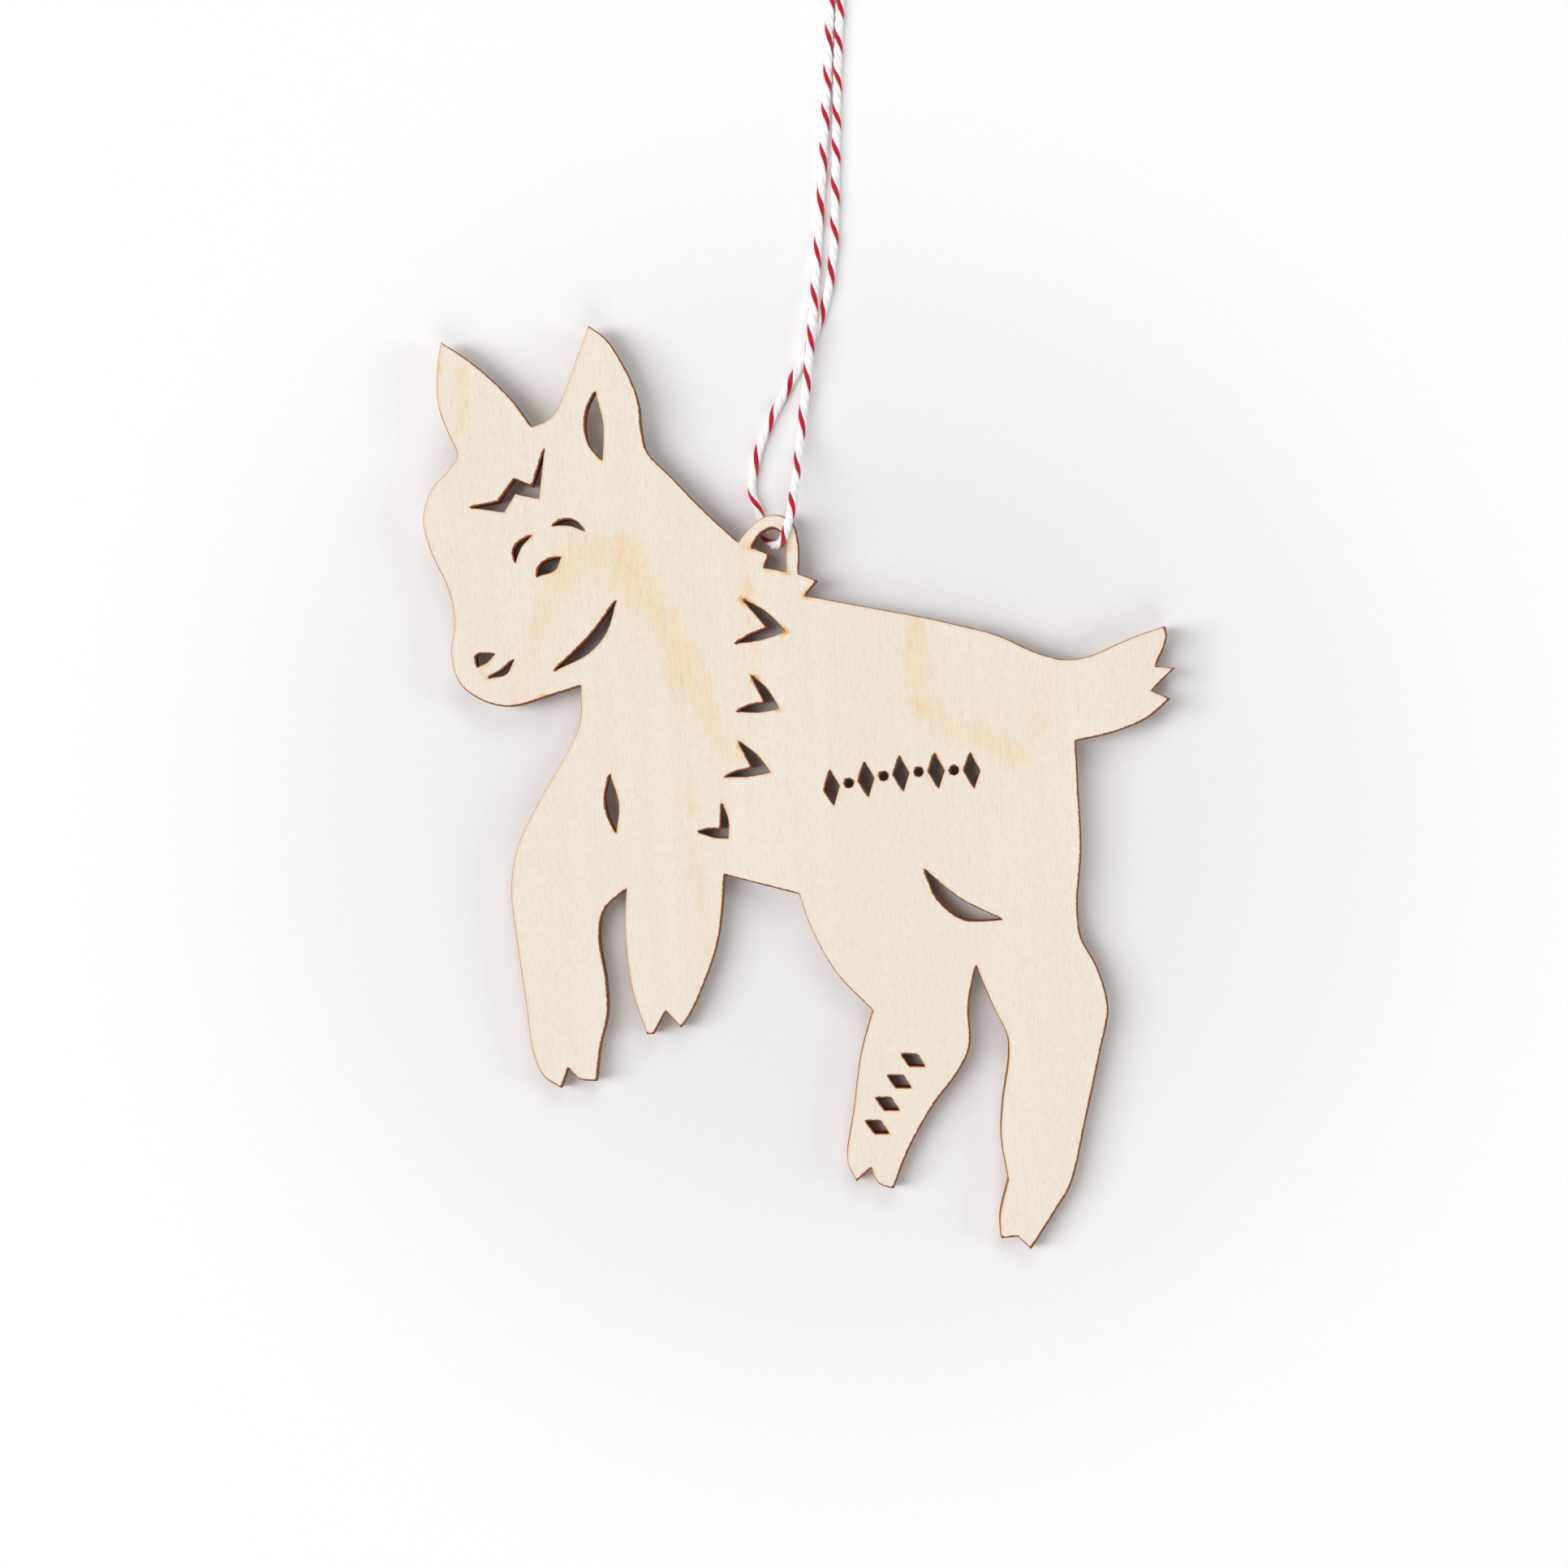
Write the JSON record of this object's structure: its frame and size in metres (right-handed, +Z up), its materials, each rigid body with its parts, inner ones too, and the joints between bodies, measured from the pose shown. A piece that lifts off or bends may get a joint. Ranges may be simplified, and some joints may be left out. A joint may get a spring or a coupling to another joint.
{
  "type": "wooden goat hanging ornament",
  "caption": "Flat laser-cut plywood goat kid ornament with cut-through face and coat lines, a hanging tab at the withers, and a knotted red and white twine loop.",
  "frame": {"origin": "centre of the board's bounding box in plan, at the surface that the ornament lies on", "axes": "+Z up off the surface, out of the drawn front face; +Y towards the ears and the hanging loop; +X towards the tail"},
  "size_m": [0.083, 0.168, 0.0054],
  "materials": {
    "face_wood": "matt",
    "core_wood": "matt",
    "twine": "matt"
  },
  "bodies": {
    "ornament": {"back_veneer": "face_wood", "core_veneer": "core_wood", "front_veneer": "face_wood"},
    "bight": {"twine_bight": "twine"},
    "loop": {"twine_back_leg": "twine", "twine_front_leg": "twine", "twine_knot": "twine", "twine_tail_left": "twine", "twine_tail_right": "twine"}
  },
  "joints": [
    {"name": "twine_swing", "type": "hinge", "parent": "ornament", "child": "bight", "pos_m": [-0.00275, 0.02695, 0.0027], "axis": [0, 0, 1], "range_deg": [-75, 38]},
    {"name": "twine_fold", "type": "hinge", "parent": "bight", "child": "loop", "pos_m": [-0.0008, 0.03105, 0.00545], "axis": [1, 0, 0], "range_deg": [0, 165]}
  ]
}
